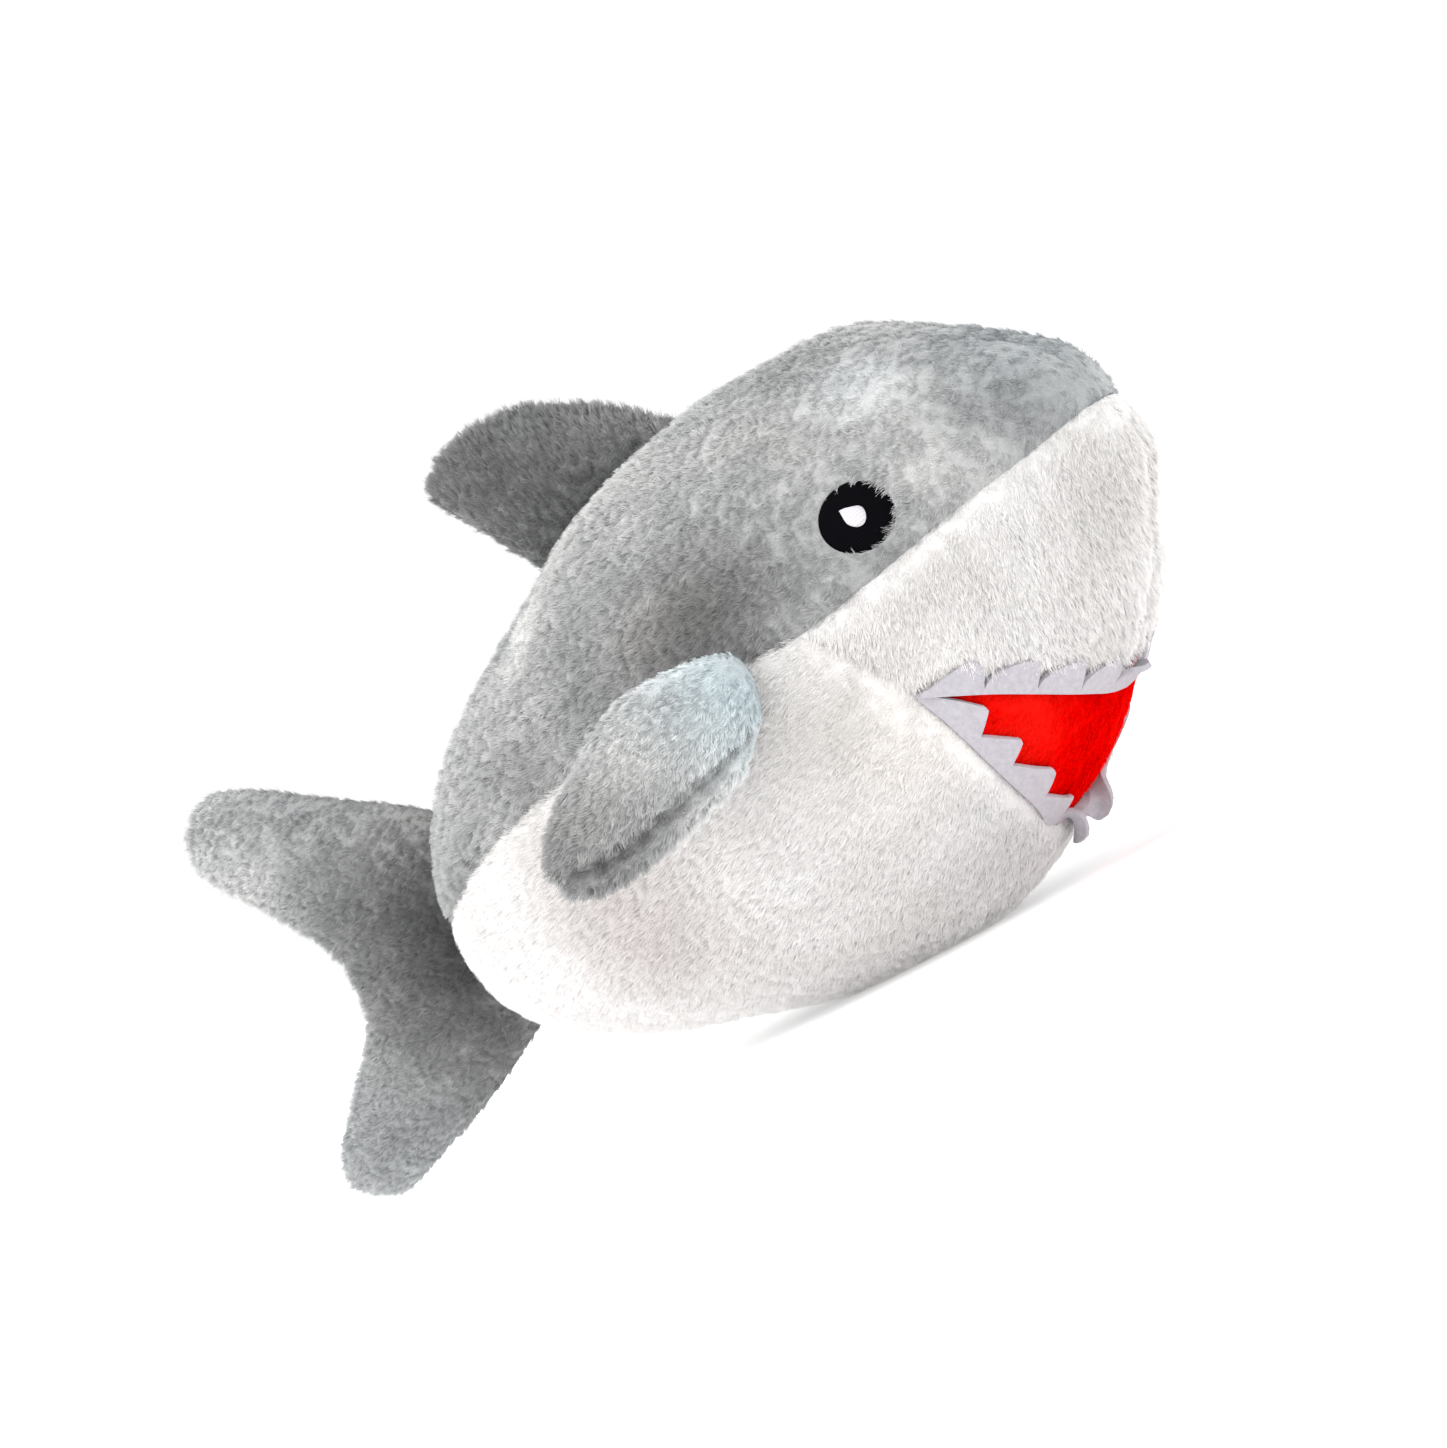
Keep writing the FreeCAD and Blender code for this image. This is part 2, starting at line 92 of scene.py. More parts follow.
def turned(points):
    """Torso-frame points (forward, left, dorsal) to the part frame."""
    forward, left, dorsal = np.asarray(points, float).T
    return np.stack([
        left,
        TORSO_BASE[1] - forward * math.cos(PITCH) + dorsal * math.sin(PITCH),
        TORSO_BASE[2] + forward * math.sin(PITCH) + dorsal * math.cos(PITCH),
    ], -1)


def reach(share):
    return np.where(share > 0, NOSE, REAR)


def girth(share):
    return GIRTH * (1 - TAPER * np.clip(share, 0, None) ** 2)


def chart_to_skin(chart):
    """Chart points (angles from the flank's pole) to the left half of the egg."""
    rho = np.hypot(chart[:, 0], chart[:, 1])
    spread = np.where(rho > 1e-9, np.sin(rho) / np.maximum(rho, 1e-9), 1.0)
    share = chart[:, 0] * spread
    radius = girth(share)
    return np.stack([share * reach(share), np.cos(rho) * radius, chart[:, 1] * spread * radius], -1)


def side_to_chart(points):
    """Side-view points (forward, dorsal) to the chart."""
    forward, dorsal = np.asarray(points, float).T
    share = forward / reach(forward)
    height = dorsal / girth(share)
    flat = np.hypot(share, height)
    rho = np.arcsin(np.clip(flat, 0, 1))
    return np.stack([share, height], -1) * (rho / np.maximum(flat, 1e-9))[:, None]


def egg_normals(points):
    forward, left, dorsal = points.T
    share = forward / reach(forward)
    radius = girth(share)
    slope = -2 * TAPER * GIRTH * np.clip(share, 0, None)
    along = (share - (left**2 + dorsal**2) * slope / radius**3) / reach(forward)
    normal = np.stack([along, left / radius**2, dorsal / radius**2], -1)
    return normal / np.linalg.norm(normal, axis=1, keepdims=True)


# ---------------------------------------------------------------- curves and flat meshes

def smooth_line(points, step, closed=False):
    """Evenly spaced points on a smooth curve through the given ones."""
    points = np.array(points, float)
    if closed:
        guide = np.vstack([points[-1:], points, points[:2]])
    else:
        guide = np.vstack([2 * points[:1] - points[1:2], points, 2 * points[-1:] - points[-2:-1]])
    t = np.linspace(0, 1, 24, endpoint=False)[:, None]
    fine = [
        0.5 * (2 * b + (c - a) * t + (2 * a - 5 * b + 4 * c - d) * t**2
               + (3 * b - a - 3 * c + d) * t**3)
        for a, b, c, d in zip(guide, guide[1:], guide[2:], guide[3:])
    ]
    fine = np.vstack(fine + [guide[-2:-1]])
    run = np.concatenate([[0], np.cumsum(np.linalg.norm(np.diff(fine, axis=0), axis=1))])
    count = max(2, round(run[-1] / step))
    goals = np.linspace(0, run[-1], count + 1)
    even = np.stack([np.interp(goals, run, fine[:, k]) for k in range(fine.shape[1])], -1)
    return even[:-1] if closed else even


def inside(points, polygon):
    """Which points lie in a closed polygon."""
    result = np.zeros(len(points), bool)
    x, y = points[:, 0], points[:, 1]
    for (ax, ay), (bx, by) in zip(polygon, np.roll(polygon, -1, axis=0)):
        if ay != by:
            crosses = (ay > y) != (by > y)
            result ^= crosses & (x < (bx - ax) * (y - ay) / (by - ay) + ax)
    return result


def nearest(points, curve):
    """Distance from each point to a set of curve samples."""
    best = np.full(len(points), 1e9)
    for start in range(0, len(curve), 64):
        block = curve[start:start + 64]
        gap = np.linalg.norm(points[:, None] - block[None], axis=2).min(1)
        best = np.minimum(best, gap)
    return best


def hex_grid(low, high, spacing):
    rows = []
    for row, y in enumerate(np.arange(low[1], high[1], spacing * math.sqrt(3) / 2)):
        x = np.arange(low[0] + (row % 2) * spacing / 2, high[0], spacing)
        rows.append(np.stack([x, np.full(len(x), y)], -1))
    return np.vstack(rows)


def triangulate(outlines, loose):
    """Triangles of the flat region covered by polylines [(points, closed)] and loose points."""
    points, edges = [], []
    for line, closed in outlines:
        first = len(points)
        points += [tuple(p) for p in line]
        edges += [(first + i, first + i + 1) for i in range(len(line) - 1)]
        if closed:
            edges.append((len(points) - 1, first))
    points += [tuple(p) for p in loose]
    verts, _, faces, *_ = delaunay_2d_cdt([Vector(p) for p in points], edges, [], 0, 1e-5)
    return np.array([tuple(v) for v in verts]), np.array(faces, int)


# ---------------------------------------------------------------- meshes

def mesh_object(name, points, faces):
    """A mesh object from part-frame millimetres."""
    mesh = bpy.data.meshes.new(name)
    mesh.from_pydata((np.asarray(points) * MM).tolist(), [], [list(map(int, f)) for f in faces])
    mesh.validate()
    mesh.shade_smooth()
    item = bpy.data.objects.new(name, mesh)
    bpy.context.scene.collection.objects.link(item)
    return item


def shell(name, outer, inner, faces, pile=None):
    """A closed thin piece: outer and inner skins with walls between their borders."""
    faces = np.asarray(faces, int)
    used = np.unique(faces)
    place = np.full(len(outer), -1)
    place[used] = np.arange(len(used))
    top = place[faces]
    count = len(used)
    sides = np.vstack([top[:, [0, 1]], top[:, [1, 2]], top[:, [2, 0]]])
    known = {tuple(s) for s in sides}
    border = [(a, b) for a, b in known if (b, a) not in known]
    walls = [(b, a, a + count, b + count) for a, b in border]
    points = np.vstack([outer[used], inner[used]])
    all_faces = [tuple(f) for f in top] + [tuple(f[::-1] + count) for f in top] + walls
    item = mesh_object(name, points, all_faces)
    if pile is not None:
        group = item.vertex_groups.new(name="pile")
        for index, weight in enumerate(pile[used]):
            if weight > 0.01:
                group.add([index], float(weight), "REPLACE")
    return item


def vertex_normals(points, faces):
    a, b, c = points[faces[:, 0]], points[faces[:, 1]], points[faces[:, 2]]
    face_normals = np.cross(b - a, c - a)
    normals = np.zeros_like(points)
    for k in range(3):
        np.add.at(normals, faces[:, k], face_normals)
    return normals / np.maximum(np.linalg.norm(normals, axis=1, keepdims=True), 1e-12)


def lumps(points, scale, seed):
    """Smooth noise from -1 to 1 with features of about the given size."""
    shift = Vector((seed * 7.31, seed * 3.17, seed * 5.71))
    return np.array([noise.noise(Vector(p) / scale + shift) for p in points])


# ---------------------------------------------------------------- materials

def srgb(*levels):
    """Display levels (0 to 255) to linear light."""
    share = np.array(levels, float) / 255
    linear = np.where(share <= 0.04045, share / 12.92, ((share + 0.055) / 1.055) ** 2.4)
    return (*linear.tolist(), 1.0)


class Nodes:
    """Short names for building a node material."""

    def __init__(self, name):
        self.material = bpy.data.materials.new(name)
        self.material.use_nodes = True
        self.tree = self.material.node_tree
        self.tree.nodes.clear()

    def add(self, kind, **settings):
        node = self.tree.nodes.new("ShaderNode" + kind)
        for key, value in settings.items():
            if key in node.inputs:
                node.inputs[key].default_value = value
            else:
                setattr(node, key, value)
        return node

    def link(self, source, target):
        self.tree.links.new(source, target)

    def noise(self, vector, scale, detail=3.0, roughness=0.6):
        node = self.add("TexNoise")
        node.inputs["Scale"].default_value = scale
        node.inputs["Detail"].default_value = detail
        node.inputs["Roughness"].default_value = roughness
        self.link(vector, node.inputs["Vector"])
        return node.outputs["Fac"]

    def ramp(self, value, stops):
        node = self.add("ValToRGB")
        elements = node.color_ramp.elements
        for element, (place, colour) in zip(elements, (stops[0], stops[-1])):
            element.position = place
            element.color = colour
        for place, colour in stops[1:-1]:
            elements.new(place).color = colour
        self.link(value, node.inputs["Fac"])
        return node.outputs["Color"]

    def mix(self, kind, factor, a, b):
        node = self.add("Mix", data_type="RGBA", blend_type=kind)
        for socket, value in zip((node.inputs[0], node.inputs[6], node.inputs[7]), (factor, a, b)):
            if isinstance(value, (float, tuple)):
                socket.default_value = value
            else:
                self.link(value, socket)
        return node.outputs[2]

    def math(self, kind, a, b):
        node = self.add("Math", operation=kind)
        for socket, value in zip(node.inputs, (a, b)):
            if isinstance(value, (int, float)):
                socket.default_value = value
            else:
                self.link(value, socket)
        return node.outputs[0]

    def stretched(self, scale):
        """Object coordinates scaled per axis."""
        mapping = self.add("Mapping")
        mapping.inputs["Scale"].default_value = scale
        self.link(self.add("TexCoord").outputs["Object"], mapping.inputs["Vector"])
        return mapping.outputs["Vector"]

    def toned(self, colour, spots):
        """Multiply a colour by soft spots of painted light and shade, (centre, radius, tone), the
        same on both flanks.
        """
        split = self.add("SeparateXYZ")
        self.link(self.add("TexCoord").outputs["Object"], split.inputs[0])
        folded = self.add("CombineXYZ")
        self.link(self.math("ABSOLUTE", split.outputs[0], 0), folded.inputs[0])
        self.link(split.outputs[1], folded.inputs[1])
        self.link(split.outputs[2], folded.inputs[2])
        for centre, radius, tone in spots:
            gap = self.add("VectorMath", operation="DISTANCE")
            self.link(folded.outputs[0], gap.inputs[0])
            gap.inputs[1].default_value = Vector(centre) * MM
            fade = self.add("MapRange", interpolation_type="SMOOTHSTEP",
                            **{"From Max": radius * MM, "To Min": 1.0, "To Max": 0.0})
            self.link(gap.outputs["Value"], fade.inputs["Value"])
            colour = self.mix("MULTIPLY", fade.outputs["Result"], colour, (*tone, 1.0))
        return colour

    def finish(self, colour, height=None, bump=0.4, depth=0.001, **surface):
        shader = self.add("BsdfPrincipled")
        for key, value in surface.items():
            shader.inputs[key.replace("_", " ").title().replace("Ior", "IOR")].default_value = value
        if isinstance(colour, tuple):
            shader.inputs["Base Color"].default_value = colour
        else:
            self.link(colour, shader.inputs["Base Color"])
        if height is not None:
            node = self.add("Bump", Strength=bump, Distance=depth)
            self.link(height, node.inputs["Height"])
            self.link(node.outputs["Normal"], shader.inputs["Normal"])
        output = self.add("OutputMaterial")
        self.link(shader.outputs["BSDF"], output.inputs["Surface"])
        return self.material


NAP_STRETCH = (1.0, 0.45, 0.8)


def plush_material(name, tones, spots, soft, strand, root=0.0):
    """Brushed short pile: broad mottling, small tufts, and a bump of fibres.

    Strands are painted darker towards the skin, as shade between the fibres, by the share root; the
    spots add painted light and shade.
    """
    n = Nodes(name)
    broad = n.noise(n.stretched(NAP_STRETCH), 48.0, 3.0, 0.55)
    tufts = n.noise(n.stretched(NAP_STRETCH), 760.0, 4.0, 0.65)
    fibres = n.noise(n.stretched(NAP_STRETCH), 1900.0, 2.0, 0.6)
    mottle = n.math("ADD", n.math("MULTIPLY", broad, 0.68), n.math("MULTIPLY", tufts, 0.32))
    dark, middle, light = tones
    colour = n.ramp(mottle, [(0.32, dark), (0.5, middle), (0.68, light)])
    colour = n.toned(colour, spots)
    if strand:
        info = n.add("HairInfo")
        # Painted shade: each strand is darker at its root and lighter at its tip.
        tip = n.math("ADD", n.math("MULTIPLY", info.outputs["Intercept"], 1.67 * root), 1 - root)
        vary = n.math("ADD", n.math("MULTIPLY", info.outputs["Random"], 0.8 * root), 1 - 0.4 * root)
        shade = n.math("MULTIPLY", tip, vary)
        grey = n.add("CombineColor")
        for socket in grey.inputs[:3]:
            n.link(shade, socket)
        colour = n.mix("MULTIPLY", 1.0, colour, grey.outputs[0])
        return n.finish(colour, roughness=0.8, sheen_weight=soft, sheen_roughness=0.5,
                        specular_ior_level=soft)
    height = n.math("ADD", n.math("MULTIPLY", tufts, 0.7), n.math("MULTIPLY", fibres, 0.5))
    return n.finish(colour, height, 0.7, 0.0012, roughness=0.9, sheen_weight=soft,
                    sheen_roughness=0.45, specular_ior_level=soft)


# Painted light and shade: a lighter or darker copy of one plush's tones, scaled by factor.
def shaded(tones, factor):
    return tuple(tuple(min(level * factor, 1.0) for level in tone[:3]) + (1.0,) for tone in tones)


GRAY = (srgb(143, 144, 145), srgb(179, 180, 180), srgb(208, 208, 206))
WHITE = (srgb(224, 222, 220), srgb(234, 232, 231), srgb(243, 242, 241))
RED = (srgb(206, 1, 1), srgb(236, 3, 1), srgb(250, 30, 20))

# Painted light and shade: soft spots that lighten the plush where light falls and darken it where
# shade gathers; the back's spots are partly brushed-nap tone as well, and some carry a slight tint:
# (centre in part millimetres, radius, tone).
BACK_PAINTED_LIGHT_AND_SHADE = [((54, -43, 77), 24, (0.5, 0.49, 0.48)), ((56, -28, 78), 18, (0.86, 0.84, 0.83)),
              ((45, -71, 76), 15, (0.86, 0.86, 0.86)), ((51, 13, 68), 14, (0.8, 0.79, 0.8)),
              ((22, -76, 102), 16, (1.4, 1.42, 1.43)), ((42, 16, 88), 38, (1.36, 1.35, 1.33)),
              ((36, -60, 101), 17, (0.86, 0.86, 0.86)), ((0, -102, 92), 36, (0.7, 0.75, 0.78))]
# Belly: painted shade low on the flank and at the chin, and a faint pink tint.
BELLY_PAINTED_SHADE_AND_TINT = [((50, 9, 31), 34, (0.85, 0.82, 0.815)), ((44, -60, 40), 30, (1.0, 0.985, 0.97)),
               ((20, -62, 12), 32, (0.84, 0.84, 0.85))]
# Dorsal fin: painted shade, deepest towards its root.
DORSAL_PAINTED_SHADE = [((0, 2, 114), 32, (0.55, 0.55, 0.55)), ((0, 22, 126), 18, (0.8, 0.78, 0.8))]
# Tail: painted shade, nearly black next to the body, and a slight cool darkening lower down.
TAIL_PAINTED_SHADE = [((0, 84, 44), 66, (0.11, 0.11, 0.11)), ((0, 130, 12), 34, (0.9, 0.92, 0.94))]
# Pectorals: a cool painted shade near the root, and painted shade spreading from the tip.
PECTORAL_PAINTED_SHADE = [((64, -47, 62), 24, (0.77, 0.89, 0.94)), ((88, -13, 49), 38, (0.38, 0.38, 0.38))]

# Each plush: its tones, its spots, how soft its sheen is, and how strands clump and get painted
# shade at their roots; the dorsal's and tail's tones are the back's gray made darker and lighter as
# painted shade and light.
PLUSHES = {
    "gray_plush": (shaded(GRAY, 0.96), BACK_PAINTED_LIGHT_AND_SHADE, 0.45, 0.6),
    "dorsal_shaded_gray_plush": (shaded(GRAY, 0.66), DORSAL_PAINTED_SHADE, 0.3, 0.6),
    "tail_lit_gray_plush": (shaded(GRAY, 1.13), TAIL_PAINTED_SHADE, 0.3, 0.6),
    "white_plush": (WHITE, BELLY_PAINTED_SHADE_AND_TINT, 0.25, 0.25),
    "red_plush": (RED, [], 0.0, 0.45),
}
SKINS, PILES, CLUMP = {}, {}, {}


def weave(name, tones, spots, soft, clump):
    """Make a plush's two materials: its skin, painted darker as shade under the pile, and its
    strands.
    """
    CLUMP[name] = clump
    SKINS[name] = plush_material(name + "_skin", shaded(tones, 0.8), spots, soft, strand=False)
    PILES[name] = plush_material(name + "_pile", tones, spots, soft, strand=True,
                                 root=0.7 * clump)


for plush_name, parts in PLUSHES.items():
    weave(plush_name, *parts)


def felt_material():
    n = Nodes("white_felt_fibre")
    mats = n.noise(n.stretched((1, 1, 1)), 900.0, 5.0, 0.7)
    wisps = n.noise(n.stretched((1, 0.3, 1)), 2600.0, 2.0, 0.6)
    colour = n.ramp(mats, [(0.3, srgb(156, 152, 160)), (0.7, srgb(176, 173, 179))])
    height = n.math("ADD", n.math("MULTIPLY", mats, 0.6), n.math("MULTIPLY", wisps, 0.4))
    return n.finish(colour, height, 0.35, 0.0004, roughness=0.95, sheen_weight=0.2)


def thread_material(name, dark, light, gloss, turns):
    """Satin embroidery: rows of fine parallel thread."""
    n = Nodes(name)
    wave = n.add("TexWave", bands_direction="DIAGONAL")
    wave.inputs["Scale"].default_value = turns
    wave.inputs["Distortion"].default_value = 2.5
    wave.inputs["Detail"].default_value = 2.0
    wave.inputs["Detail Scale"].default_value = 3.0
    n.link(n.stretched((1, 1, 1)), wave.inputs["Vector"])
    colour = n.ramp(wave.outputs["Fac"], [(0.2, dark), (0.9, light)])
    return n.finish(colour, wave.outputs["Fac"], 0.3, 0.0002, roughness=gloss,
                    specular_ior_level=0.03)


FELT = felt_material()
EYE_THREAD = thread_material("eye_thread", srgb(3, 2, 4), srgb(9, 8, 12), 0.8, 900.0)
GLINT_THREAD = thread_material("glint_thread", srgb(190, 186, 191), srgb(202, 199, 204), 0.7,
                               700.0)


# ---------------------------------------------------------------- pile

# How far strands rise from the skin and lean along the nap, as shares of their length.
PILE_LIFT, PILE_LEAN = 0.55, 0.83
STRANDS_PER_GUIDE = 14


def add_pile(item, plush, area, nap, length=1.9, density=0.65, seed=1):
    """Short plush strands on a piece's outer skin, combed along the nap (part frame)."""
    item.data.materials.append(PILES[plush])
    modifier = item.modifiers.new("pile", "PARTICLE_SYSTEM")
    system = modifier.particle_system
    system.seed = seed
    system.vertex_group_density = "pile"
    hair = system.settings
    hair.type = "HAIR"
    hair.count = int(area * density)
    hair.use_advanced_hair = True
    hair.hair_step = 3
    hair.emit_from = "FACE"
    hair.distribution = "RAND"
    hair.use_even_distribution = True
    hair.normal_factor = length * MM * PILE_LIFT / 4
    hair.object_align_factor = [float(v) * length * MM * PILE_LEAN / 4 for v in nap]
    hair.factor_random = length * MM * (0.2 + 0.5 * CLUMP[plush]) / 4
    hair.child_type = "INTERPOLATED"
    hair.rendered_child_count = STRANDS_PER_GUIDE
    hair.child_percent = 1
    hair.clump_factor = CLUMP[plush]
    hair.roughness_1 = 0.0004
    hair.roughness_1_size = 0.4
    hair.roughness_endpoint = 0.0007
    hair.child_length = 1.0
    hair.radius_scale = MM * 0.1
    hair.root_radius = 1.0
    hair.tip_radius = 0.35
    hair.material = len(item.data.materials)


def mesh_area(points, faces):
    a, b, c = points[faces[:, 0]], points[faces[:, 1]], points[faces[:, 2]]
    return float(np.linalg.norm(np.cross(b - a, c - a), axis=1).sum() / 2)


# ---------------------------------------------------------------- torso

def extended(line):
    """A seam in the chart, carried just past its last point."""
    chart = side_to_chart(smooth_line(line, 1.3))
    return np.vstack([chart, 2 * chart[-1:] - chart[-2:-1]])


def seam_samples(line):
    """A side-view seam as points on the egg, on both flanks."""
    skin = chart_to_skin(side_to_chart(smooth_line(line, 0.8)))
    return np.vstack([skin, skin * (1, -1, 1)])


def middle_samples(keep):
    """The centre seam's points where keep(forward, dorsal) holds."""
    angle = np.linspace(-math.pi, math.pi, 1200)
    skin = chart_to_skin(np.stack([np.cos(angle), np.sin(angle)], -1) * (math.pi / 2))
    return skin[keep(skin[:, 0], skin[:, 2])]


def region_polygons():
    """Side-view outlines of the panels below the main seam."""
    upper = [(60.0, -70.0)]
    lower = [(12.0, -80.0)]
    ahead = [(120.0, -70.0), (120.0, 20.0), (27.2, 20.0)]
    lip_up = smooth_line(UPPER_LIP, 1.3).tolist()
    lip_low = smooth_line(LOWER_LIP, 1.3).tolist()
    snout = smooth_line(SNOUT_SEAM, 1.3).tolist()
    return {
        "snout": np.array(snout + lip_up[1:] + upper + ahead),
        "mouth": np.array(lip_up + upper + lower + lip_low[:0:-1]),
    }


SEAMS = {
    "main": (seam_samples(MAIN_SEAM), 1.3, 2.2),
    "snout": (seam_samples(SNOUT_SEAM), 0.9, 2.0),
    "belly": (middle_samples(lambda f, d: (d < 0) & (f < 20)), 1.0, 2.0),
    "back": (middle_samples(lambda f, d: (d > 0) & (f < 80)), 0.8, 1.8),
    "chin": (middle_samples(lambda f, d: (d < 0) & (f > 46)), 0.7, 1.8),
    "upper_lip": (seam_samples(UPPER_LIP), 1.6, 5.5),
    "lower_lip": (seam_samples(LOWER_LIP), 1.6, 2.2),
}
REST_DEPTH = -2.2


def skin_height(points):
    """How far the fabric stands off the plain egg, before any seam."""
    height = np.full(len(points), -PILE_DEPTH)
    folded = points * (1, 1, 1)
    folded[:, 1] = np.abs(folded[:, 1])
    for centre, amount, spread in FULLNESS:
        gap = np.linalg.norm(folded - np.array(centre, float), axis=1)
        height += amount * np.exp(-(gap / spread) ** 2)
    height += 0.55 * lumps(points, 26.0, 1) + 0.22 * lumps(points, 9.0, 2)
    return height


def seam_depth(points):
    depth = np.zeros(len(points))
    for samples, amount, width in SEAMS.values():
        depth = np.maximum(depth, amount * np.exp(-(nearest(points, samples) / width) ** 2))
    return depth


def torso_chart():
    """The left half's triangles: chart points and faces, with each face's region."""
    scale = np.array([80.0, GIRTH])
    rim_angle = np.linspace(0, 2 * math.pi, 2000, endpoint=False)
    rim = np.stack([np.cos(rim_angle), np.sin(rim_angle)], -1) * (math.pi / 2) * scale
    rim = smooth_line(rim, PANEL_SPACING, closed=True)
    seams = [extended(MAIN_SEAM), extended(UPPER_LIP), extended(LOWER_LIP)]
    first = seams[0]
    seams[0] = np.vstack([2 * first[:1] - first[1:2], first])
    snout = side_to_chart(smooth_line(SNOUT_SEAM, 1.3))
    lines = [(line * scale, False) for line in seams + [snout]]
    eye = side_to_chart(eye_ring(EYE_RADIUS))
    lines.append((eye * scale, True))
    grid = hex_grid((-130, -95), (130, 95), PANEL_SPACING)
    rho = np.hypot(*(grid / scale).T)
    keep = rho < math.pi / 2 - 0.012
    taken = np.vstack([line for line, _ in lines] + [rim])
    keep[keep] = nearest(grid[keep], taken) > PANEL_SPACING * 0.55
    flat, faces = triangulate([(rim, True)] + lines, grid[keep])
    chart = flat / scale
    rho = np.hypot(*chart.T)
    middle = chart[faces].mean(1)
    faces = faces[np.hypot(*middle.T) < math.pi / 2 - 1e-4]
    edge = rho > math.pi / 2 - 0.004
    chart[edge] *= (math.pi / 2 / rho[edge])[:, None]
    middle = chart[faces].mean(1)
    skin = chart_to_skin(middle)
    side = skin[:, [0, 2]]
    main = smooth_line(MAIN_SEAM, 1.3)
    above = side[:, 1] > np.interp(side[:, 0], main[:, 0], main[:, 1])
    polygons = region_polygons()
    region = np.where(above, "back", "belly").astype(object)
    for name in ("snout", "mouth"):
        region[~above & inside(side, polygons[name])] = name
    region[inside(middle, eye)] = "eye"
    return chart, faces, region


def eye_ring(radius):
    """Side-view outline of a round patch on the skin at the eye."""
    centre = chart_to_skin(side_to_chart([EYE_CENTRE]))
    normal = egg_normals(centre)[0]
    first = np.cross(normal, (0, 0, 1.0))
    first /= np.linalg.norm(first)
    second = np.cross(normal, first)
    angle = np.linspace(0, 2 * math.pi, EYE_SIDES, endpoint=False)[:, None]
    ring = centre + radius * (np.cos(angle) * first + np.sin(angle) * second)
    return ring[:, [0, 2]]


def heading(direction):
    """A torso-frame direction in the part frame."""
    return turned([direction])[0] - turned([(0, 0, 0)])[0]


TAILWARD = heading((-1, 0, 0))
SNOUT_NAP = heading((-0.58, 0, -0.77))
PANELS = [("back", "gray_plush"), ("snout", "white_plush"), ("belly", "white_plush")]


def build_torso():
    chart, faces, region = torso_chart()
    left = chart_to_skin(chart)
    on_middle = np.hypot(*chart.T) > math.pi / 2 - 1e-6
    left[on_middle, 1] = 0
    normals = egg_normals(left)
    eye_gap = np.linalg.norm(left - chart_to_skin(side_to_chart([EYE_CENTRE])), axis=1)
    corner = chart_to_skin(side_to_chart(UPPER_LIP[:1]))
    strip = 4.5 * np.clip(np.linalg.norm(left - corner, axis=1) / 11, 0.1, 1)
    bare = {
        "back": 1.0,
        "snout": np.clip((nearest(left, SEAMS["upper_lip"][0]) - strip) / 2.5, 0, 1),
        "belly": np.clip((nearest(left, SEAMS["lower_lip"][0]) + 0.3) / 1.0, 0, 1),
    }
    seed = 0
    for side, sign in (("left", 1), ("right", -1)):
        mirror = np.array([1, sign, 1])
        base = left * mirror
        normal = normals * mirror
        turn = faces[:, ::-1] if sign > 0 else faces
        height = skin_height(base)
        depth = seam_depth(base)
        dimple = 1.3 * np.exp(-(np.clip(eye_gap - EYE_RADIUS, 0, None) / 5.0) ** 2)
        outer = base + normal * (height - depth - dimple)[:, None]
        placed = turned(outer)
        floor = placed[:, 2] < REST_DEPTH
        placed[floor, 2] = REST_DEPTH - 0.15 * (REST_DEPTH - placed[floor, 2])
        skin_normals = vertex_normals(placed, turn)
        skin_normals[on_middle, 0] = 0
        inner = placed - skin_normals * SKIN
        inner[:, 0] = np.where(on_middle, 0, inner[:, 0])
        for name, plush in PANELS:
            mine = turn[region == name]
            nap_depth = np.clip(1 - depth * 0.2, 0.5, 1) * bare[name]
            item = shell("%s_%s_plush" % (name, side), placed, inner, mine, nap_depth)
            item.data.materials.append(SKINS[plush])
            area = mesh_area(placed, mine)
            nap = SNOUT_NAP if name == "snout" else TAILWARD
            seed += 1
            add_pile(item, plush, area, nap, seed=seed)
            node = "%s_panel_%s" % (name, side)
            extra = ["body_stuffing"] if node == "belly_panel_left" else []
            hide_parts(node, *extra)
            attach(item, "torso")


def build_lining():
    """The red insert between the lips, one piece across both halves."""
    chart, faces, region = torso_chart()
    mine = faces[region == "mouth"]
    left = chart_to_skin(chart)
    on_middle = np.hypot(*chart.T) > math.pi / 2 - 1e-6
    left[on_middle, 1] = 0
    normals = egg_normals(left)
    sunk = (0.3 + 1.6 * np.exp(-(nearest(left, SEAMS["lower_lip"][0]) / 7.5) ** 4)
            + 1.0 * np.exp(-(nearest(left, SEAMS["upper_lip"][0]) / 3.0) ** 2))
    points, all_faces = [], []
    for sign in (1, -1):
        mirror = np.array([1, sign, 1])
        skin = left * mirror + normals * mirror * (skin_height(left * mirror) - sunk)[:, None]
        points.append(turned(skin))
        turn = mine[:, ::-1] if sign > 0 else mine
        all_faces.append(turn + (0 if sign > 0 else len(left)))
    twin = np.arange(len(left) * 2)
    twin[np.flatnonzero(on_middle) + len(left)] = np.flatnonzero(on_middle)
    points = np.vstack(points)
    joined = twin[np.vstack(all_faces)]
    inner = points - vertex_normals(points, joined) * LINING_SKIN
    item = shell("mouth_lining_plush", points, inner, joined, np.ones(len(points)))
    item.data.materials.append(SKINS["red_plush"])
    add_pile(item, "red_plush", mesh_area(points, joined), TAILWARD, length=0.9, seed=31)
    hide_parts("mouth_lining")
    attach(item, "torso")


# ---------------------------------------------------------------- eyes

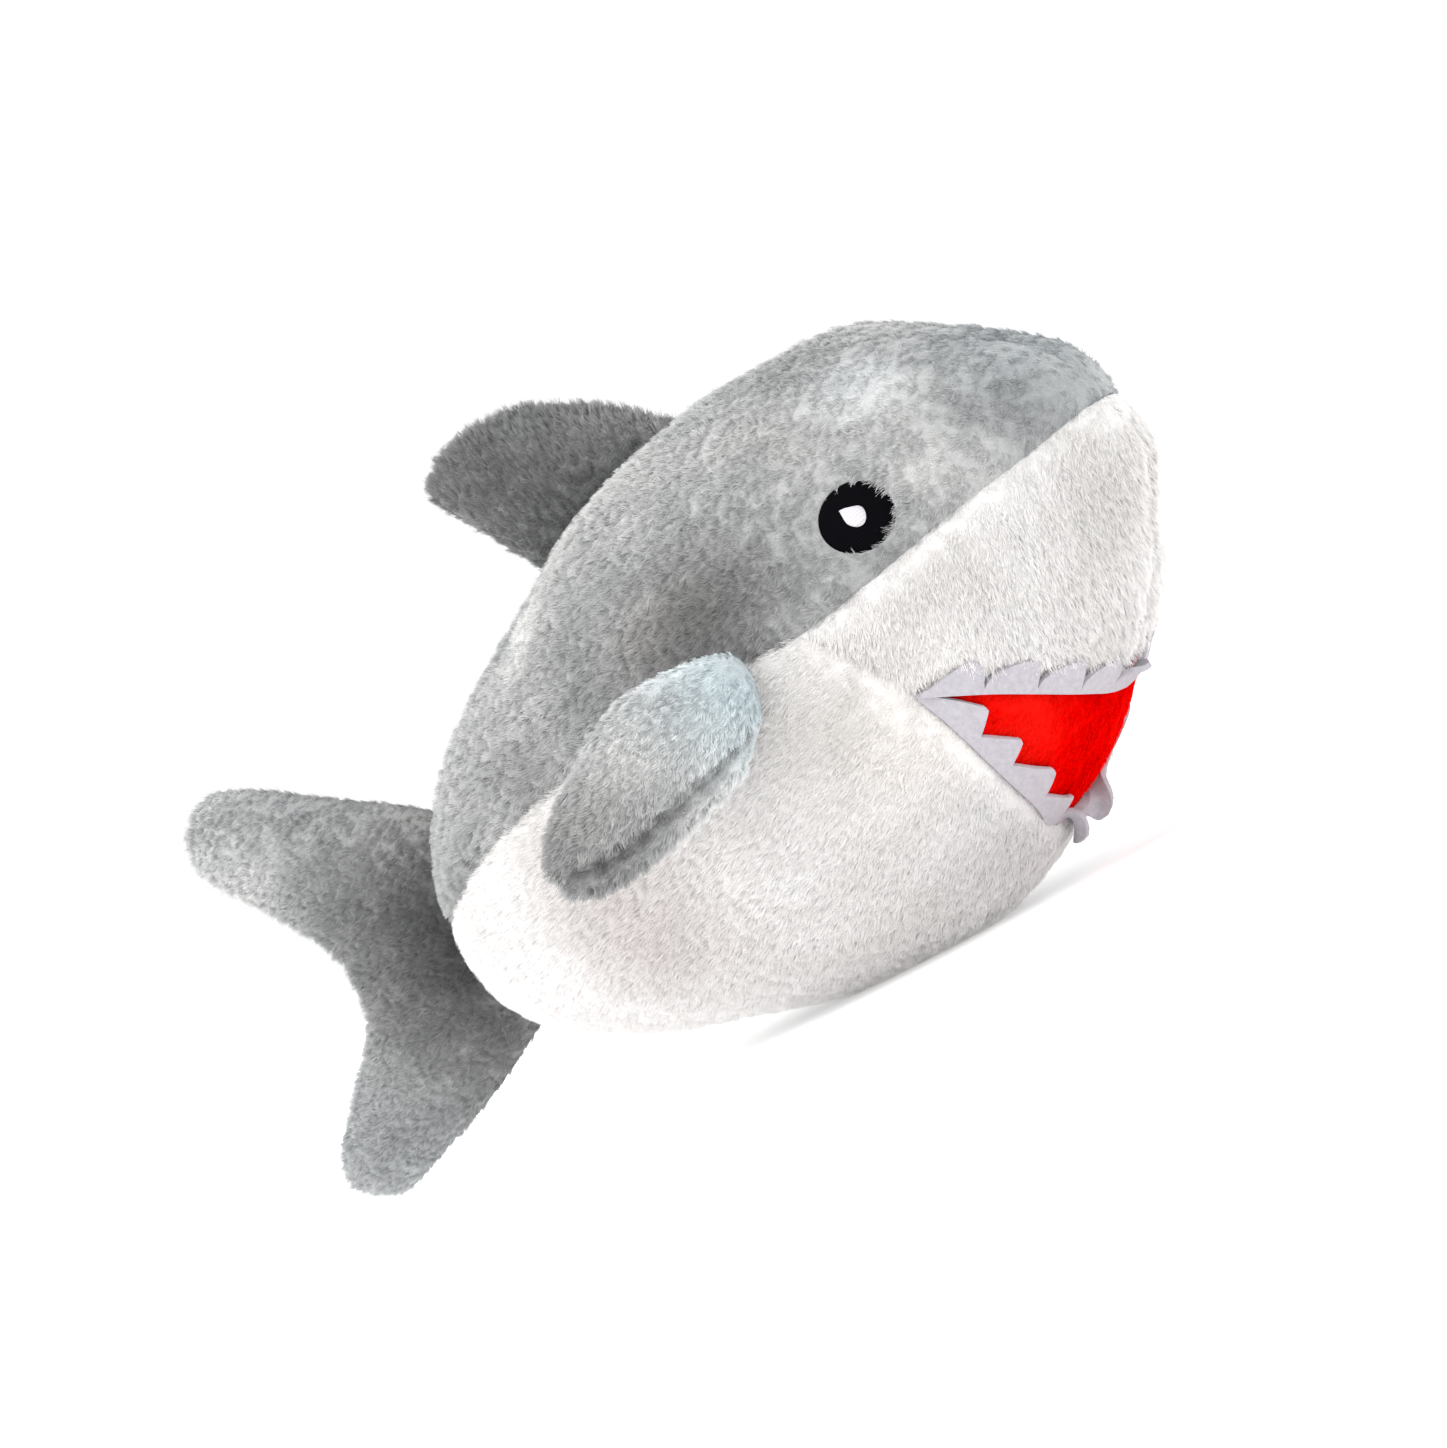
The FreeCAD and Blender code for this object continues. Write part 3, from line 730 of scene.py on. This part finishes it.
def build_eyes():
    centre = chart_to_skin(side_to_chart([EYE_CENTRE]))
    for side, sign in (("left", 1), ("right", -1)):
        mirror = np.array([1, sign, 1])
        for kind, radius, sunk, crown, material, slot in (
            ("patch", EYE_RADIUS - 0.15, PILE_DEPTH + 1.6, 0.5, EYE_THREAD, "eye_embroidery"),
            ("glint", 2.1, PILE_DEPTH + 0.9, 0.35, GLINT_THREAD, "glint_embroidery"),
        ):
            rings = [np.zeros((1, 2))]
            steps = max(3, int(radius / 0.6))
            for step in range(1, steps + 1):
                angle = np.linspace(0, 2 * math.pi, 8 * step, endpoint=False)
                ring = np.stack([np.cos(angle), np.sin(angle)], -1) * step / steps
                if kind == "glint":
                    bulge = 0.8 * np.exp(-((angle - 2.0) / 0.2) ** 2) + 0.05 * np.sin(3 * angle)
                    ring *= (1 + bulge)[:, None]
                rings.append(ring)
            disc = np.vstack(rings)
            flat, faces = triangulate([(disc[-8 * steps:], True)], disc[:-8 * steps])
            normal = egg_normals(centre)[0]
            first = np.cross(normal, (0, 0, 1.0))
            first /= np.linalg.norm(first)
            second = np.cross(first, normal)
            spot = centre + radius * (flat[:, :1] * first + flat[:, 1:] * second)
            skin = chart_to_skin(side_to_chart(spot[:, [0, 2]]))
            rise = crown * np.sqrt(np.clip(1 - (flat**2).sum(1), 0, 1))
            outer = skin + egg_normals(skin) * (rise - sunk)[:, None]
            inner = skin - egg_normals(skin) * (sunk + 0.9)
            outer, inner = turned(outer * mirror), turned(inner * mirror)
            facing = vertex_normals(outer, faces)[0] @ (turned((centre + normal) * mirror)
                                                        - turned(centre * mirror))[0]
            turn = faces if facing > 0 else faces[:, ::-1]
            item = shell("eye_%s_%s_thread" % (kind, side), outer, inner, turn)
            item.data.materials.append(material)
            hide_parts("eye_%s_%s" % (kind, side))
            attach(item, "torso")


# ---------------------------------------------------------------- felt teeth

def lip_points(line):
    """A lip as egg points from the right corner round to the left one."""
    half = chart_to_skin(side_to_chart(smooth_line(line, 0.4)))
    half[-1, 1] = 0
    return np.vstack([half * (1, -1, 1), half[-2::-1]])


# Strip outlines from a mouth corner to the front: (distance along the lip, height above it).
PETAL = [(0.0, 0.0), (0.07, 0.3), (0.22, 0.6), (0.46, 0.85), (0.7, 0.99), (0.83, 1.0),
         (0.92, 0.85), (0.98, 0.45)]
PETAL_STARTS = [0.4, 13.0, 24.4, 35.8, 47.4]
FIRST_PETAL = [(0.0, 0.0), (0.15, 0.18), (0.4, 0.55), (0.6, 0.84), (0.78, 1.0), (0.9, 0.9),
               (0.98, 0.5)]
PETAL_HEIGHT, PETAL_VALLEY, FIRST_VALLEY = 6.2, 0.7, 0.2
MIDDLE_PETAL = [(0.0, PETAL_VALLEY), (0.6, 3.4), (1.8, 5.0), (3.6, 6.0)]
FANGS = [((-0.2, 0.3), (12.0, 6.7), (13.0, 6.6)), ((16.1, 2.1), (23.4, 7.0), (24.4, 6.7)),
         ((27.0, 2.4), (37.4, 7.2), (38.8, 6.9)), ((42.4, 2.4), (52.3, 7.0), (53.4, 6.6))]
FRONT_FANG = [(57.0, 2.2), (60.9, 7.3)]
# A tooth lies flat for its foot, shorter the more it folds, then bends over a short length.
TOOTH_FOOT, FOOT_LOSS, TOOTH_BEND = 1.6, 0.45, 1.8
FOOT_BOTTOM = -0.4
SKIN_CURVE, TOOTH_CURVE = 104.0, 90.0


def upper_half():
    """Leaning round petals; the last one straddles the middle."""
    line = []
    for start, end in zip(PETAL_STARTS, PETAL_STARTS[1:]):
        shape, low = (PETAL, PETAL_VALLEY) if line else (FIRST_PETAL, FIRST_VALLEY)
        line += [(start + (end - start) * along, low + (PETAL_HEIGHT - low) * rise)
                 for along, rise in shape]
    return line + [(PETAL_STARTS[-1] + along, height) for along, height in MIDDLE_PETAL]


def lower_half():
    """Pointed teeth that lean forwards."""
    return [point for fang in FANGS for point in fang] + FRONT_FANG


def upper_flare(middle):
    """The angle that upper teeth fold outwards, by distance from the middle."""
    return 0.04 + 0.9 * np.exp(-(middle / 6.0) ** 4)


def lower_flare(middle):
    """The same for the lower teeth: the middle one and its left neighbour fold over."""
    return 0.05 + 2.65 * np.exp(-((middle - 4.5) / 7.2) ** 4)


def build_teeth(lip, line, half, gap, upward, lift, flare):
    """A felt strip that follows a lip; flare gives the angle each tooth folds outwards."""
    path = lip_points(line)
    run = np.concatenate([[0], np.cumsum(np.linalg.norm(np.diff(path, axis=0), axis=1))])
    total = run[-1]
    top = half + [(total - x, y) for x, y in reversed(half)]
    bottom = [(x, FOOT_BOTTOM) for x in np.arange(total, -0.01, -1.0)]
    outline = subdivided(np.array(top + bottom), 0.7)
    grid = hex_grid((0, FOOT_BOTTOM), (total, outline[:, 1].max()), 0.8)
    keep = inside(grid, outline)
    keep[keep] = nearest(grid[keep], outline) > 0.4
    flat, faces = triangulate([(outline, True)], grid[keep])
    faces = faces[inside(flat[faces].mean(1), outline)]
    goals = flat[:, 0]
    spot, ahead, behind = (
        np.stack([np.interp(goals + shift, run, path[:, k]) for k in range(3)], -1)
        for shift in (0, 0.8, -0.8)
    )
    along = ahead - behind
    along /= np.linalg.norm(along, axis=1, keepdims=True)
    normal = egg_normals(spot)
    away = np.cross(normal, along)
    away *= np.sign(away @ np.array(upward, float))[:, None]
    height = flat[:, 1]
    angle = flare(goals - total / 2)
    foot = np.minimum(height, TOOTH_FOOT - FOOT_LOSS * angle)
    free = height - foot
    bend = angle / TOOTH_BEND
    bent = np.minimum(free, TOOTH_BEND)
    straight = free - bent
    rise = np.sin(bend * bent) / bend + straight * np.cos(bend * TOOTH_BEND)
    lean = (1 - np.cos(bend * bent)) / bend + straight * np.sin(bend * TOOTH_BEND)
    curl = 0.35 * lumps(np.stack([goals, height, goals * 0], -1), 7.0, 5) * np.clip(free / 3, 0, 1)
    drop = foot**2 / SKIN_CURVE + free * height / TOOTH_CURVE
    face = (spot + away * (foot + rise)[:, None]
            + normal * (gap + lift * np.clip(free / 4, 0, 1) - drop + curl + lean)[:, None])
    facing = vertex_normals(face, faces)
    turn = faces if (facing * normal).sum() > 0 else faces[:, ::-1]
    back = face - vertex_normals(face, turn) * FELT_SKIN
    face, back = turned(face), turned(back)
    item = shell("%s_teeth_felt" % lip, face, back, turn[:, ::-1])
    bevel = item.modifiers.new("soft_edges", "BEVEL")
    bevel.width = 0.25 * MM
    bevel.segments = 2
    bevel.limit_method = "ANGLE"
    bevel.angle_limit = math.radians(50)
    item.data.materials.append(FELT)
    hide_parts(lip + "_teeth")
    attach(item, "torso")


def subdivided(outline, step):
    """A closed outline's corners, with points added along its longer sides."""
    result = []
    for a, b in zip(outline, np.roll(outline, -1, axis=0)):
        parts = max(1, round(float(np.linalg.norm(b - a)) / step))
        result += [a + (b - a) * k / parts for k in range(parts)]
    return np.array(result)


# ---------------------------------------------------------------- fins

def hinge_axes(body, out, sense=1):
    """Hinge point, and axes out along the fin, along the hinge, and through the fin."""
    point = np.array(JOINTS[body]["pos_m"]) / MM
    along = np.array(JOINTS[body]["axis"]) * sense
    out = np.array(out, float)
    out -= along * (out @ along)
    out /= np.linalg.norm(out)
    return point, np.stack([out, along, np.cross(out, along)])


def inset_outline(outline, spacing, inset):
    """Evenly spaced closed outline, moved inwards; the given one runs clockwise."""
    edge = smooth_line(outline, spacing, closed=True)
    run = np.roll(edge, -1, axis=0) - np.roll(edge, 1, axis=0)
    run /= np.linalg.norm(run, axis=1, keepdims=True)
    inward = np.stack([run[:, 1], -run[:, 0]], -1)
    if not inside(edge[:1] + inward[:1] * 0.5, edge)[0]:
        inward = -inward
    return edge + inward * inset


def fin_layer(edge, seam, spacing):
    """Flat triangles inside a fin's edge, meeting its seam line if it has one."""
    grid = hex_grid(edge.min(0), edge.max(0), spacing)
    keep = inside(grid, edge)
    lines = [edge] + ([seam] if seam is not None else [])
    keep[keep] = nearest(grid[keep], np.vstack(lines)) > spacing * 0.6
    flat, faces = triangulate([(edge, True)] + [(line, False) for line in lines[1:]], grid[keep])
    return flat, faces[inside(flat[faces].mean(1), edge)]


class Fin:
    """A stuffed fin drawn in its own plane: x out from the body, z towards its first face."""

    def __init__(self, body, outline, half, crown, root, inset=1.3, spacing=1.5):
        self.body, self.half, self.crown, self.root = body, half, crown, root
        self.spacing = spacing
        self.edge = inset_outline(np.array(outline, float), spacing, inset)
        self.creases = []
        self.seam = None

    def crease(self, line, side, depth, width):
        self.creases.append((np.array(line, float), side, depth, width))

    def nap(self, flat, side):
        """Pile density at flat points: thin where a crease is sewn."""
        nap = np.ones(len(flat))
        for line, where, amount, width in self.creases:
            if where == side:
                nap -= 0.3 * amount * np.exp(-(nearest(flat, line) / width) ** 2)
        return np.clip(nap, 0.15, 1)

    def depth(self, flat):
        """Half thickness at flat points; the root doesn't thin out."""
        free = self.edge[self.edge[:, 0] > self.root]
        gap = nearest(flat, subdivided(free, 0.5)[:-2])
        share = np.clip(gap / self.crown, 0, 1)
        return self.half * (1 - (1 - share) ** 2) ** 0.56, gap

    def layer(self, side, seed):
        """One skin of the fin: points, triangles, and where each lies."""
        seam = None if self.seam is None else self.seam[0 if side > 0 else 1]
        flat, faces = fin_layer(self.edge, seam, self.spacing)
        depth, gap = self.depth(flat)
        z = side * depth
        at = np.stack([flat[:, 0], flat[:, 1], z], -1)
        z = z + side * 0.45 * lumps(at, 11.0, seed) * np.clip(gap / 4, 0, 1)
        for line, where, amount, width in self.creases:
            if where == side:
                z = z - side * amount * np.exp(-(nearest(flat, line) / width) ** 2)
        turn = faces if side > 0 else faces[:, ::-1]
        return np.stack([flat[:, 0], flat[:, 1], z], -1), turn, self.nap(flat, side)

    def form(self, seed):
        """The whole closed fin: its points and triangles, and which skin and place each has."""
        near, near_faces, near_nap = self.layer(1, seed)
        far, far_faces, far_nap = self.layer(-1, seed + 1)
        count = len(self.edge)
        own = np.arange(count, len(far)) + len(near) - count
        far_index = np.concatenate([np.arange(count), own])
        points = np.vstack([near, far[count:]])
        faces = np.vstack([near_faces, far_index[far_faces]])
        first = np.arange(len(faces)) < len(near_faces)
        return points, faces, first, np.concatenate([near_nap, far_nap[count:]])


def build_fin(fin, name, place, axes, labels, plush, seed, split=None, mirror=False):
    """Sew a fin's two faces as closed fabric pieces, placed in the part frame."""
    points, faces, first, nap = fin.form(seed)
    side = first if split is None else split(points[faces].mean(1), first)
    sign = np.array([-1.0, 1.0, 1.0]) if mirror else np.ones(3)
    world = (place + points @ axes) * sign
    if (np.linalg.det(axes) < 0) != mirror:
        faces = faces[:, ::-1]
    normals = vertex_normals(world, faces)
    inner = world - normals * FIN_SKIN
    for number, (label, mine) in enumerate(zip(labels, (side, ~side))):
        item = shell("%s_%s_plush" % (name, label), world, inner, faces[mine], nap)
        item.data.materials.append(SKINS[plush])
        add_pile(item, plush, mesh_area(world, faces[mine]), axes[0] * sign, length=1.6,
                 density=0.75, seed=seed + number)
        nodes = ["%s_%s" % (name, label)] + ([name + "_stuffing"] if number == 0 else [])
        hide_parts(*nodes)
        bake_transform(item)


# Fin outlines, out from the hinge and along it, in millimetres.
DORSAL = [(-15, 27.5), (-9, 26), (-6.4, 24.7), (-0.3, 21.0), (5.3, 16.6), (12.2, 9.9), (18.9, 2.7),
          (22.7, -4.6), (25.7, -12.9), (26.8, -20.6), (25.7, -27.0), (22.4, -30.8), (18.0, -31.2),
          (11.8, -29.3), (5.4, -27.3), (-0.4, -25.9), (-4.9, -24.4), (-9, -24), (-15, -22)]
TAIL = [(-22, 19.5), (-12, 27.0), (-3.2, 33.0), (10.6, 40.6), (21.9, 47.4), (35.6, 54.5),
        (44.7, 56.4), (52.7, 52.8), (56.8, 45.0), (55.0, 36.2), (46.4, 26.6), (39.9, 18.6),
        (34.5, 11.1),
        (32.4, 3.6), (33.0, -3.0), (36.6, -8.9), (46.0, -16.6), (58.3, -27.2), (62.7, -34.3),
        (61.4, -40.5), (55.2, -44.6), (46.5, -45.8), (31.4, -41.4), (20.3, -38.2),
        (10.0, -34.7), (-0.7, -30.3), (-8.9, -26.3), (-16, -21), (-22, -14)]
PECTORAL = [(-6.5, 0.6), (-4.1, -3.0), (1.5, -7.6), (7.0, -11.2), (12.6, -13.6), (19.5, -14.3),
            (27.0, -14.1), (33.5, -13.9), (39.5, -12.9), (43.6, -10.9), (46.4, -7.8), (47.4, -4.0),
            (46.2, -0.4), (43.3, 2.9), (39.0, 5.8), (32.4, 8.9), (25.1, 11.5), (17.4, 13.9),
            (10.2, 15.0), (3.5, 14.2), (-1.7, 11.6), (-5.2, 7.9), (-7.0, 4.0)]
PECTORAL_SEAM = [(-9.0, 6.0), (-4.0, 10.2), (1.0, 12.3), (6.0, 12.4), (11.0, 10.9), (18.4, 8.2),
                 (23.7, 6.3), (28.7, 4.2), (34.8, 1.8), (39.6, -1.2), (42.9, -4.2), (49.5, -9.5)]
PECTORAL_TURN = math.radians(20.7)


def build_fins():
    point, axes = hinge_axes("dorsal_fin", (0, 0.3, 1))
    fin = Fin("dorsal_fin", DORSAL, 6.0, 10.0, -10.0, inset=2.3)
    build_fin(fin, "dorsal_fin", point, axes, ("left_face", "right_face"), "dorsal_shaded_gray_plush", 41)

    point, axes = hinge_axes("tail", (0, 1, 0))
    fin = Fin("tail", TAIL, 8.0, 15.0, -16.0, inset=1.7)
    fin.crease([(34, 5), (29, 6.5), (24, 8.5), (19, 9.5)], -1, 1.2, 2.2)
    fin.crease([(33, 4), (27, 5), (22, 5.5)], 1, 1.0, 2.2)
    build_fin(fin, "tail", point, axes, ("left_face", "right_face"), "tail_lit_gray_plush", 51)

    point, axes = hinge_axes("right_pectoral", (-0.4848, 0.6892, -0.5385), sense=-1)
    out, along, through = axes
    cos, sin = math.cos(PECTORAL_TURN), math.sin(PECTORAL_TURN)
    axes = np.stack([out, along * cos - through * sin, through * cos + along * sin])
    seam = smooth_line(PECTORAL_SEAM, 1.5)
    stitches = seam[5:-2:3]
    for side, mirror in (("right", False), ("left", True)):
        body = side + "_pectoral"
        fin = Fin(body, PECTORAL, 8.5, 12.0, -50.0, spacing=1.15)
        fin.seam = (seam, seam * (1, -1))
        fin.crease(seam, 1, 2.3, 2.0)
        fin.crease(stitches, 1, 1.8, 1.8)
        fin.crease(seam * (1, -1), -1, 1.6, 1.9)
        if not mirror:
            weave_pectoral(fin, point, axes, seam, stitches)
        build_fin(fin, body, point, axes, ("outer_face", "inner_face"), "pectoral_lit_gray_plush",
                  61 if mirror else 71, split=fin_split(seam), mirror=mirror)


def weave_pectoral(fin, point, axes, seam, stitches):
    """The pectorals' plush: the back's gray made lighter as painted light, with painted shade in the
    sewn groove, darkest at its stitch dimples.
    """
    tones = list(PECTORAL_PAINTED_SHADE)
    for line, radius, tone in ((seam[12:-4:2], 3.4, (0.66, 0.66, 0.66)),
                               (stitches, 2.6, (0.3, 0.3, 0.3))):
        flat = line[line[:, 0] > 4]
        depth = fin.depth(flat)[0] - 1.5
        places = point + np.column_stack([flat, depth]) @ axes
        tones += [((abs(x), y, z), radius, tone) for x, y, z in places.tolist()]
    weave("pectoral_lit_gray_plush", shaded(GRAY, 1.53), tones, 0.5, 0.55)


def fin_split(seam):
    """Which triangles belong to the outer face of a fin whose seam crosses its skins."""
    def split(middles, near):
        line = np.interp(middles[:, 0], seam[:, 0], seam[:, 1])
        return np.where(near, middles[:, 1] < line, middles[:, 1] < -line)
    return split


# ---------------------------------------------------------------- stage

FLOOR, FLOOR_REACH = -2.6, 4000


def build_stage():
    corners = [(x * FLOOR_REACH, y * FLOOR_REACH, FLOOR)
               for x, y in ((-1, -1), (1, -1), (1, 1), (-1, 1))]
    floor = mesh_object("floor", corners, [(0, 1, 2, 3)])
    n = Nodes("pale_floor")
    grain = n.noise(n.stretched((1, 1, 1)), 3.0, 2.0)
    colour = n.ramp(grain, [(0.3, srgb(246, 246, 246)), (0.7, srgb(249, 249, 249))])
    floor.data.materials.append(n.finish(colour, roughness=0.9, emission_strength=0.3,
                                         emission_color=(1.0, 1.0, 1.0, 1.0)))
    world = bpy.data.worlds.new("studio")
    bpy.context.scene.world = world
    world.use_nodes = True
    world.node_tree.nodes["Background"].inputs["Color"].default_value = (1, 1, 1, 1)
    world.node_tree.nodes["Background"].inputs["Strength"].default_value = 1.0
    for name, toward, strength, spread in (
        ("key", (-0.75, 0.55, 0.75), 1.7, 50.0),
        ("rim", (-0.45, 0.8, 0.45), 1.5, 40.0),
        ("fill", (-0.3, -1.0, 0.4), 1.1, 60.0),
    ):
        light = bpy.data.lights.new(name, "SUN")
        light.angle = math.radians(spread)
        light.energy = strength
        lamp = bpy.data.objects.new(name, light)
        lamp.rotation_euler = Vector(toward).to_track_quat("Z", "Y").to_euler()
        bpy.context.scene.collection.objects.link(lamp)


FRAME_WIDTH, FOCAL_PIXELS, SENSOR = 1447, 3500, 36.0
CAMERA_PLACE = (-0.5969, -0.3970, 0.0475)
CAMERA_AZIMUTH, CAMERA_ELEVATION, CAMERA_ROLL = -56.26, -0.88, -29.16


def build_camera():
    """The viewpoint: low beside the right cheek, rolled clockwise."""
    data = bpy.data.cameras.new("view")
    data.sensor_width = SENSOR
    data.lens = SENSOR * FOCAL_PIXELS / FRAME_WIDTH
    camera = bpy.data.objects.new("view", data)
    bpy.context.scene.collection.objects.link(camera)
    azimuth, elevation, roll = (
        math.radians(v) for v in (CAMERA_AZIMUTH, CAMERA_ELEVATION, CAMERA_ROLL))
    back = Vector((math.sin(azimuth) * math.cos(elevation),
                   -math.cos(azimuth) * math.cos(elevation), math.sin(elevation)))
    level = Vector((math.cos(azimuth), math.sin(azimuth), 0))
    upright = back.cross(level)
    right = level * math.cos(roll) + upright * math.sin(roll)
    up = upright * math.cos(roll) - level * math.sin(roll)
    rotation = Matrix((right, up, back)).transposed()
    camera.matrix_world = Matrix.Translation(CAMERA_PLACE) @ rotation.to_4x4()
    bpy.context.scene.camera = camera
    bpy.context.scene.view_settings.view_transform = "Standard"


build_camera()
build_stage()
build_torso()
build_lining()
build_eyes()
build_teeth("upper", UPPER_LIP, upper_half(), -0.8, (0, 0, 1), 0.3, upper_flare)
build_teeth("lower", LOWER_LIP, lower_half(), -1.6, (1, 0, 0.6), 0.3, lower_flare)
build_fins()
